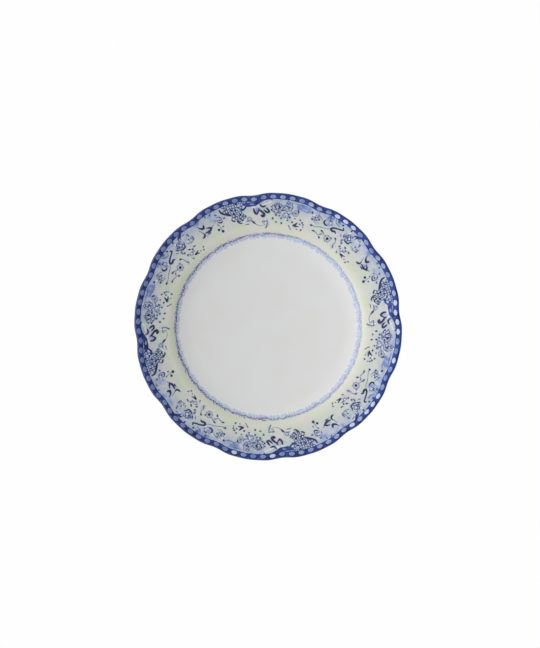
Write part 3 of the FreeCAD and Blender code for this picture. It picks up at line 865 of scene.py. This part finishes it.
def lace_print():
    nodes = material_nodes("lace_print")
    verge = nodes.ramp(nodes.value("across"), GROUND_INNER_RADIUS - 0.25, GROUND_INNER_RADIUS + 0.2)
    ground = nodes.mix(verge, WHITE, CREAM)
    mood = nodes.noise(11.0, detail=1.0)
    drip = nodes.mix(nodes.ramp(mood, 0.42, 0.56), DRIP_BLUE, DRIP_LAVENDER)
    wander = nodes.times(nodes.math("SUBTRACT", nodes.noise(0.5, detail=4.0), 0.5), 0.45)
    patches = nodes.ramp(nodes.noise(2.2), 0.3, 0.7, 0.65, 1.0)
    colour = nodes.mix(nodes.times(nodes.value("wash"), patches), ground, drip)
    line = nodes.mix(nodes.ramp(mood, 0.4, 0.6), CHAIN_BLUE, CHAIN_VIOLET)
    # Fainter towards the +X side: partly thinner ink, partly painted light.
    faint = nodes.ramp(nodes.value("thin_and_lit"), 0.3, 1.0, 1.0, 0.5)
    ink = nodes.ramp(nodes.math("ADD", nodes.value("dark"), wander), -0.12, 0.14)
    ink = nodes.times(ink, nodes.ramp(nodes.noise(1.2), 0.3, 0.6, 0.45, 1.0))
    colour = nodes.mix(nodes.times(ink, faint), colour, line)
    return finish_glazed(nodes, colour, 0.14)


# ---- the coats

def build_face_glaze():
    radii = radii_to_edge(FLAT_RADIUS, PLAIN_STEP)
    coat = Coat(radii, ring_angles(EDGE_RADIUS, PLAIN_STEP), GLAZE, 0, hollow=False)
    piece = coat.build("face_glaze_coat", {})
    finish_piece(piece, "white_glaze", white_glaze(), "face_glaze")


def build_ground():
    radii = steps_between(GROUND_INNER_RADIUS, BAND_INNER_RADIUS, PLAIN_STEP)
    coat = Coat(radii, ring_angles(EDGE_RADIUS, PLAIN_STEP), GROUND_TOP, GLAZE)
    piece = coat.build("cream_ground_coat", {})
    finish_piece(piece, "cream_enamel", cream_enamel(), "cream_ground")


def build_prints():
    """The four sheets share one drawing."""
    radii = steps_between(PRINT_INNER_RADIUS, BAND_INNER_RADIUS, PRINT_STEP)
    start = math.radians(SHEET_JOINT_ANGLE)
    across = math.radians(REPEAT)
    middle = (PRINT_INNER_RADIUS + BAND_INNER_RADIUS) / 2
    angles = steps_between(start, start + across, PRINT_STEP / middle)
    coat = Coat(radii, angles, PRINT_TOP, GROUND_TOP, closed=False)
    drawing = print_drawing((DRAWING_STARTS_AT - np.degrees(coat.turn)) % REPEAT, coat.reach)
    material = floral_print()
    for number in range(PRINT_SHEETS):
        # The sheet's cobalt is lighter towards the +X side, partly as painted light.
        drawing["thin_and_lit"] = thinness_and_light(coat.turn - across * number)
        piece = coat.build("floral_sheet_%d" % (number + 1), drawing, turned_by=-across * number)
        finish_piece(piece, "blue_floral_print", material, "border_print_%d" % (number + 1))


def build_band():
    radii = radii_to_edge(BAND_INNER_RADIUS, PLAIN_STEP / 2)
    coat = Coat(radii, ring_angles(EDGE_RADIUS, PLAIN_STEP / 2), PRINT_TOP, GLAZE)
    lip = np.clip(1 - (EDGE_RADIUS - coat.across) / NOSE_RADIUS, 0, 1)
    values = {"lip": lip, "inside": coat.across - BAND_INNER_RADIUS, "thin_and_lit": thinness_and_light(coat.turn),
              "link": oval_share(coat.turn, coat.reach)}
    piece = coat.build("cobalt_band_coat", values)
    finish_piece(piece, "cobalt_enamel", cobalt_enamel(), "edge_band")


def thinness_and_light(angle):
    """How thinly the cobalt was laid and how much painted light it has, from 0 to 1: most on the +X side."""
    return 0.5 + 0.5 * np.cos(angle)


def oval_lean(middle):
    """How much the edge runs outwards along the rim, at the middle of an oval."""
    return sum(-size * (n + 1) * LOBES * np.sin((n + 1) * LOBES * middle)
               for n, size in enumerate(EDGE_WAVES)) / EDGE_RADIUS


def oval_share(angle, reach):
    """How far out from the nearest oval's middle a place on the band is: 1 at the oval's outline."""
    pitch = 2 * math.pi / (LOBES * OVALS_PER_LOBE)
    middle = np.round(angle / pitch) * pitch
    centre_r = EDGE_RADIUS - OVAL_INSET
    along = (angle - middle) * centre_r
    out = reach - centre_r - edge_swing(middle) - oval_lean(middle) * along
    return np.hypot(along, out / OVAL_ASPECT) * 2 / OVAL_LENGTH


def build_ovals():
    """Low domes of pale enamel, evenly spaced along the band, with one in each notch."""
    shares = np.array([1.0, 0.93, 0.82, 0.68, 0.52, 0.36, 0.18])
    rises = np.sqrt(np.clip(1 - shares ** 2.4, 0, 1))
    around = np.linspace(0, 2 * math.pi, OVAL_SIDES, endpoint=False)
    count = LOBES * OVALS_PER_LOBE
    spread = np.random.default_rng(3).uniform(0, 0.3, count)
    points, faces, hearts, pale_and_glint, thin_and_lit = [], [], [], [], []
    for number in range(count):
        middle = 2 * math.pi * number / count
        centre_r = EDGE_RADIUS - OVAL_INSET
        slope = oval_lean(middle)
        # Painted glints on the listed ovals; on the others a random paleness that grows towards the +X side,
        # partly painted light.
        white = GLINT_SHARE if number in GLINT_OVALS else spread[number] * thinness_and_light(middle)
        first = len(hearts)
        layers = [(1.0, -0.2)] + list(zip(shares, rises)) + [(0.0, 1.0)]
        for share, rise in layers:
            ring = around if share else around[:1]
            along = OVAL_LENGTH / 2 * share * np.cos(ring)
            out = OVAL_LENGTH / 2 * OVAL_ASPECT * share * np.sin(ring)
            angle = middle + (along - slope * out) / centre_r
            reach = centre_r + edge_swing(middle) + out + slope * along
            radius = reach - edge_swing(angle)
            height = PRINT_TOP + OVAL_RELIEF * rise
            r, z = on_face(radius - OVAL_SHIFT, np.full(radius.shape, height))
            points.append(plan_points(r, z, angle))
            hearts.extend([share] * len(ring))
            pale_and_glint.extend([white] * len(ring))
            thin_and_lit.extend([thinness_and_light(middle)] * len(ring))
        for row in range(len(layers) - 2):
            for n in range(OVAL_SIDES):
                a = first + row * OVAL_SIDES + n
                b = first + row * OVAL_SIDES + (n + 1) % OVAL_SIDES
                faces.append([b, a, a + OVAL_SIDES, b + OVAL_SIDES])
        tip = first + (len(layers) - 1) * OVAL_SIDES
        last = tip - OVAL_SIDES
        faces.extend([last + (n + 1) % OVAL_SIDES, last + n, tip] for n in range(OVAL_SIDES))
        faces.append([first + n for n in range(OVAL_SIDES)])
    values = {"heart": hearts, "pale_and_glint": pale_and_glint, "thin_and_lit": thin_and_lit}
    piece = mesh_object("enamel_ovals", np.concatenate(points), faces, values)
    finish_piece(piece, "pale_blue_enamel", pale_enamel(), "edge_ovals")


def build_lace():
    """A fine wandering chain, with ticks on its outer side and pale drips on its inner side."""
    radii = steps_between(LACE_INNER_RADIUS, LACE_OUTER_RADIUS, LACE_STEP)
    rise = smooth_step(radii, GROUND_INNER_RADIUS - 1.5, GROUND_INNER_RADIUS)
    top = GLAZE + LACE_FILM + (PRINT_TOP - GLAZE - LACE_FILM) * rise
    bottom = np.where(radii > GROUND_INNER_RADIUS, GROUND_TOP, GLAZE)
    coat = Coat(radii, ring_angles(LACE_OUTER_RADIUS, LACE_STEP), top, bottom)
    phase = coat.turn * LACE_LINKS / (2 * math.pi)
    phase = phase + 0.45 * np.sin(coat.turn * 31) + 0.3 * np.sin(coat.turn * 13)
    link = np.floor(phase).astype(int) % LACE_LINKS
    uneven = np.random.default_rng(7).uniform(-1, 1, (LACE_LINKS, 6))[link].T
    x = (phase - np.floor(phase) - 0.5) * 2 * math.pi * LACE_RADIUS / LACE_LINKS
    y = coat.across - LACE_RADIUS
    wander = 0.35 * np.sin(coat.turn * 23) + 0.25 * np.sin(coat.turn * 57)
    wave = wander + LACE_WAVE * np.sin(2 * math.pi * phase)
    chain = CHAIN_HALF_WIDTH + 0.2 * uneven[0] - np.abs(y - wave)
    knot_x = x + 0.7 + 0.4 * uneven[2]
    knot = KNOT_RADIUS + 0.25 * uneven[1] - np.hypot(knot_x, (y - wander - 0.35) * 1.15)
    tick = TICK_HALF_WIDTH - np.abs(x - 0.6 - 0.45 * y)
    tick = np.where((y > wave) & (y < wander + TICK_LENGTH + 0.7 * uneven[3]), tick, FAR)
    dark = np.maximum(np.maximum(chain, knot), tick)
    drip = DRIP_SHORTEST + (DRIP_SWING + 0.4 * uneven[4]) * np.abs(np.sin(math.pi * phase)) ** 0.7
    wash = smooth_step(y, -drip - 0.6, -drip + 0.9) * (1 - smooth_step(y, 0.8, 2.3))
    piece = coat.build("lace_ring", {"dark": dark, "wash": wash, "across": coat.across,
                                     "thin_and_lit": thinness_and_light(coat.turn)})
    finish_piece(piece, "blue_lace_print", lace_print(), "verge_lace")


def finish_cad_nodes():
    """The nodes that keep their CAD solids only get their materials."""
    for name, material in (("biscuit_body", bare_china()), ("back_glaze", white_glaze())):
        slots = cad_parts[name].data.materials
        slots.clear()
        slots.append(material)


# ---- the stage

# The camera looks straight down, turned so that the +X notch lies a little above the image's right.
VIEW_TURN = math.radians(-6.3)
VIEW_OFFSET = (1.85, 2.6)
VIEW_HEIGHT = 2.0
IMAGE_LONG_SIDE = 648
SENSOR = 36.0
RIM_HEIGHT = 24.0

KEY_AZIMUTH = math.radians(178.0) + VIEW_TURN
KEY_ELEVATION = math.radians(31.0)
KEY_DISTANCE = 1.3
KEY_SIZE = (2.2, 1.1)
KEY_POWER = 5.0
FILL_MEAN = 1.17
FILL_LEAN = 0.86
FILL_AT_HORIZON = 1.05
FILL_OVERHEAD = 0.42
PAPER = 0.99


def build_camera():
    """A long lens, at one millimetre of the rim to one pixel."""
    camera = add_object("camera", bpy.data.cameras.new("camera"))
    camera.data.sensor_width = SENSOR
    camera.data.lens = SENSOR * (VIEW_HEIGHT - RIM_HEIGHT * MM) / (IMAGE_LONG_SIDE * MM)
    cos, sin = math.cos(VIEW_TURN), math.sin(VIEW_TURN)
    right, up = VIEW_OFFSET
    camera.location = ((right * cos - up * sin) * MM, (right * sin + up * cos) * MM, VIEW_HEIGHT)
    camera.rotation_euler = (0, 0, VIEW_TURN)
    bpy.context.scene.camera = camera


def build_light():
    """One large soft panel, fairly low, on the left of the image."""
    light = bpy.data.lights.new("key", "AREA")
    light.shape = "RECTANGLE"
    light.size, light.size_y = KEY_SIZE
    light.energy = KEY_POWER
    key = add_object("key", light)
    flat = KEY_DISTANCE * math.cos(KEY_ELEVATION)
    key.location = (flat * math.cos(KEY_AZIMUTH), flat * math.sin(KEY_AZIMUTH),
                    KEY_DISTANCE * math.sin(KEY_ELEVATION))
    key.rotation_euler = (-key.location).to_track_quat("-Z", "Y").to_euler()


def build_world():
    """A wide soft fill, stronger towards the key light's side and near the horizon."""
    world = bpy.data.worlds.new("studio")
    bpy.context.scene.world = world
    nodes = Nodes(world)
    direction = nodes.coordinates("Generated")
    towards = nodes.new("ShaderNodeVectorMath")
    towards.operation = "DOT_PRODUCT"
    towards.inputs[1].default_value = (math.cos(KEY_AZIMUTH), math.sin(KEY_AZIMUTH), 0)
    nodes.link(direction, towards.inputs[0])
    side = nodes.ramp(towards.outputs["Value"], -1.0, 1.0, FILL_MEAN - FILL_LEAN, FILL_MEAN + FILL_LEAN,
                      kind="LINEAR")
    split = nodes.new("ShaderNodeSeparateXYZ")
    nodes.link(direction, split.inputs[0])
    height = nodes.ramp(split.outputs["Z"], 0.0, 1.0, FILL_AT_HORIZON, FILL_OVERHEAD, kind="LINEAR")
    fill = nodes.tree.nodes["Background"]
    nodes.link((1.0, 1.0, 1.0, 1.0), fill.inputs["Color"])
    nodes.link(nodes.times(side, height), fill.inputs["Strength"])
    backdrop = nodes.new("ShaderNodeBackground")
    nodes.link((PAPER, PAPER, PAPER, 1.0), backdrop.inputs["Color"])
    mix = nodes.new("ShaderNodeMixShader")
    nodes.link(nodes.new("ShaderNodeLightPath").outputs["Is Camera Ray"], mix.inputs[0])
    nodes.link(fill.outputs[0], mix.inputs[1])
    nodes.link(backdrop.outputs[0], mix.inputs[2])
    nodes.link(mix.outputs[0], nodes.tree.nodes["World Output"].inputs["Surface"])


def build_floor():
    """A sheet of white paper on a light table, so that the plate throws no shadow. It is in metres."""
    half = 6.0
    corners = [(-half, -half, 0.0), (half, -half, 0.0), (half, half, 0.0), (-half, half, 0.0)]
    mesh = bpy.data.meshes.new("floor")
    mesh.from_pydata(corners, [], [(0, 1, 2, 3)])
    floor = add_object("floor", mesh)
    nodes = material_nodes("paper")
    for name, value in (("Base Color", (0.0, 0.0, 0.0, 1.0)), ("Specular IOR Level", 0.0),
                        ("Emission Color", (PAPER, PAPER, PAPER, 1.0)), ("Emission Strength", 1.0)):
        nodes.link(value, nodes.shader.inputs[name])
    mesh.materials.append(nodes.owner)


def main():
    bpy.context.scene.view_settings.view_transform = "Standard"
    build_camera()
    build_light()
    build_world()
    build_floor()
    finish_cad_nodes()
    build_face_glaze()
    build_ground()
    build_prints()
    build_band()
    build_ovals()
    build_lace()


main()
bpy.context.view_layer.update()
